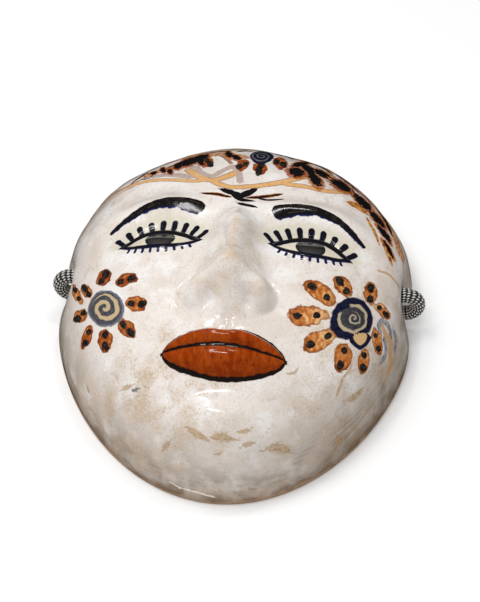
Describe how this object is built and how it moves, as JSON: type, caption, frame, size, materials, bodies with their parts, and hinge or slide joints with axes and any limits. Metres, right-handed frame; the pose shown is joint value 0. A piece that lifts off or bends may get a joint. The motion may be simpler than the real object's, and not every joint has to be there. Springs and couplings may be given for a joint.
{
  "type": "ceramic wall mask",
  "caption": "Hollow glazed ceramic face mask with painted flowers and a braided hanging cord through its side walls.",
  "frame": {"origin": "middle of the rim plane, under the mask as it lies face up, taken without the cord and its knots", "axes": "+X to the viewer's right, +Y from the chin to the forehead, +Z out of the face, upwards as the mask lies on its rim"},
  "size_m": [0.1866, 0.215, 0.09],
  "materials": {
    "glaze": "gloss",
    "cord": "matte"
  },
  "bodies": {
    "root": {"mask_shell": "glaze", "hanging_cord": "cord", "knot_left": "cord", "knot_right": "cord"}
  },
  "joints": []
}
